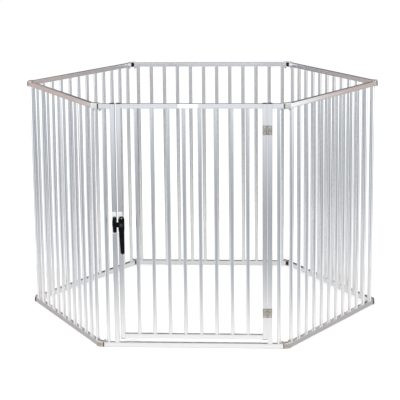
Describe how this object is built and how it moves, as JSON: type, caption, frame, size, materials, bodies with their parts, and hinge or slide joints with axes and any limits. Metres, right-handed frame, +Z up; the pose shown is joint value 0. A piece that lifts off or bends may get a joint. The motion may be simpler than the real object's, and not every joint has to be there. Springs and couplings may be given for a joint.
{
  "type": "pet pen with swinging gate",
  "caption": "Free-standing hexagonal metal pet pen of barred panels on folding corner links, with a swinging door, butt hinges and a turning latch.",
  "frame": {"origin": "centre of the whole pen's box, at floor level", "axes": "+X to the right when facing the door, +Y away from the door towards the back panel, +Z up"},
  "size_m": [1.6136, 1.4357, 1.06],
  "materials": {
    "tube_aluminium": "satin anodised, fine lengthwise grain",
    "bracket_metal": "satin, bright",
    "light_plate": "fine satin",
    "hinge_steel": "brushed",
    "bolt_zinc": "zinc plated",
    "screw_steel": "machined",
    "bright_steel": "polished",
    "black_plastic": "fine moulded grain",
    "black_lacquer": "semi-gloss powder coat"
  },
  "bodies": {
    "front_panel": {"front_bottom_rail": "tube_aluminium", "front_left_stub_rail": "tube_aluminium", "front_right_stub_rail": "tube_aluminium", "latch_post": "tube_aluminium", "hinge_post": "tube_aluminium", "front_fixed_bars": "tube_aluminium", "front_end_plugs": "black_plastic", "post_caps": "black_plastic", "hinge_frame_leaves": "hinge_steel", "hinge_pins": "hinge_steel", "hinge_frame_screws": "screw_steel", "keeper_mount_plate": "light_plate", "keeper": "black_lacquer", "keeper_screws": "screw_steel"},
    "front_door": {"door_latch_stile": "tube_aluminium", "door_hinge_stile": "tube_aluminium", "door_top_rail": "tube_aluminium", "door_bottom_rail": "tube_aluminium", "door_bars": "tube_aluminium", "door_caps": "black_plastic", "hinge_door_leaves": "hinge_steel", "hinge_door_screws": "screw_steel", "handle_mount_plate": "light_plate", "handle_base": "black_lacquer", "handle_screws": "screw_steel", "handle_spindle": "bright_steel", "handle_cap_screw": "bright_steel"},
    "latch_lever": {"latch_lever": "black_lacquer"},
    "right_front_panel": {"right_front_top_rail": "tube_aluminium", "right_front_bottom_rail": "tube_aluminium", "right_front_bars": "tube_aluminium", "right_front_end_plugs": "black_plastic"},
    "right_back_panel": {"right_back_top_rail": "tube_aluminium", "right_back_bottom_rail": "tube_aluminium", "right_back_bars": "tube_aluminium", "right_back_end_plugs": "black_plastic"},
    "back_panel": {"back_top_rail": "tube_aluminium", "back_bottom_rail": "tube_aluminium", "back_bars": "tube_aluminium", "back_end_plugs": "black_plastic"},
    "left_back_panel": {"left_back_top_rail": "tube_aluminium", "left_back_bottom_rail": "tube_aluminium", "left_back_bars": "tube_aluminium", "left_back_end_plugs": "black_plastic"},
    "left_front_panel": {"left_front_top_rail": "tube_aluminium", "left_front_bottom_rail": "tube_aluminium", "left_front_bars": "tube_aluminium", "left_front_end_plugs": "black_plastic"},
    "front_right_link": {"front_right_link_brackets": "bracket_metal", "front_right_link_bolts": "bolt_zinc"},
    "right_link": {"right_link_brackets": "bracket_metal", "right_link_bolts": "bolt_zinc"},
    "back_right_link": {"back_right_link_brackets": "bracket_metal", "back_right_link_bolts": "bolt_zinc"},
    "back_left_link": {"back_left_link_brackets": "bracket_metal", "back_left_link_bolts": "bolt_zinc"},
    "left_link": {"left_link_brackets": "bracket_metal", "left_link_bolts": "bolt_zinc"},
    "front_left_link": {"front_left_link_brackets": "bracket_metal", "front_left_link_bolts": "bolt_zinc"}
  },
  "joints": [
    {"name": "front_right_fold", "type": "hinge", "parent": "front_panel", "child": "front_right_link", "pos_m": [0.38095, -0.68166, 0.53], "axis": [0, 0, 1], "range_deg": [-30, 15]},
    {"name": "front_right_outer_fold", "type": "hinge", "parent": "front_right_link", "child": "right_front_panel", "pos_m": [0.40953, -0.66516, 0.53], "axis": [0, 0, 1], "range_deg": [-31.15, 16.15]},
    {"name": "right_fold", "type": "hinge", "parent": "right_front_panel", "child": "right_link", "pos_m": [0.79047, -0.00534, 0.53], "axis": [0, 0, 1], "range_deg": [-32.3, 62.3]},
    {"name": "right_outer_fold", "type": "hinge", "parent": "right_link", "child": "right_back_panel", "pos_m": [0.79047, 0.02766, 0.53], "axis": [0, 0, 1], "range_deg": [-32.3, 62.3]},
    {"name": "back_right_fold", "type": "hinge", "parent": "right_back_panel", "child": "back_right_link", "pos_m": [0.40953, 0.68748, 0.53], "axis": [0, 0, 1], "range_deg": [-31.15, 16.15]},
    {"name": "back_right_outer_fold", "type": "hinge", "parent": "back_right_link", "child": "back_panel", "pos_m": [0.38095, 0.70398, 0.53], "axis": [0, 0, 1], "range_deg": [-31.15, 16.15]},
    {"name": "front_left_fold", "type": "hinge", "parent": "front_panel", "child": "front_left_link", "pos_m": [-0.38095, -0.68166, 0.53], "axis": [0, 0, 1], "range_deg": [-16.15, 31.15]},
    {"name": "front_left_outer_fold", "type": "hinge", "parent": "front_left_link", "child": "left_front_panel", "pos_m": [-0.40953, -0.66516, 0.53], "axis": [0, 0, 1], "range_deg": [-16.15, 31.15]},
    {"name": "left_fold", "type": "hinge", "parent": "left_front_panel", "child": "left_link", "pos_m": [-0.79047, -0.00534, 0.53], "axis": [0, 0, 1], "range_deg": [-62.3, 32.3]},
    {"name": "left_outer_fold", "type": "hinge", "parent": "left_link", "child": "left_back_panel", "pos_m": [-0.79047, 0.02766, 0.53], "axis": [0, 0, 1], "range_deg": [-62.3, 32.3]},
    {"name": "back_left_fold", "type": "hinge", "parent": "left_back_panel", "child": "back_left_link", "pos_m": [-0.40953, 0.68748, 0.53], "axis": [0, 0, 1], "range_deg": [-16.15, 31.15]},
    {"name": "door_hinge", "type": "hinge", "parent": "front_panel", "child": "front_door", "pos_m": [0.31725, -0.69471, 0.553], "axis": [0, 0, 1], "range_deg": [0, 170]},
    {"name": "lever_pivot", "type": "hinge", "parent": "front_door", "child": "latch_lever", "pos_m": [-0.298, -0.70866, 0.545], "axis": [0, -1, 0], "range_deg": [0, 90]}
  ],
  "couplings": [
    {"joint": "front_right_outer_fold", "follows": "front_right_fold", "ratio": 1},
    {"joint": "right_fold", "follows": "front_right_fold", "ratio": -2},
    {"joint": "right_outer_fold", "follows": "front_right_fold", "ratio": -2},
    {"joint": "back_right_fold", "follows": "front_right_fold", "ratio": 1},
    {"joint": "back_right_outer_fold", "follows": "front_right_fold", "ratio": 1},
    {"joint": "front_left_fold", "follows": "front_right_fold", "ratio": -1},
    {"joint": "front_left_outer_fold", "follows": "front_right_fold", "ratio": -1},
    {"joint": "left_fold", "follows": "front_right_fold", "ratio": 2},
    {"joint": "left_outer_fold", "follows": "front_right_fold", "ratio": 2},
    {"joint": "back_left_fold", "follows": "front_right_fold", "ratio": -1}
  ]
}
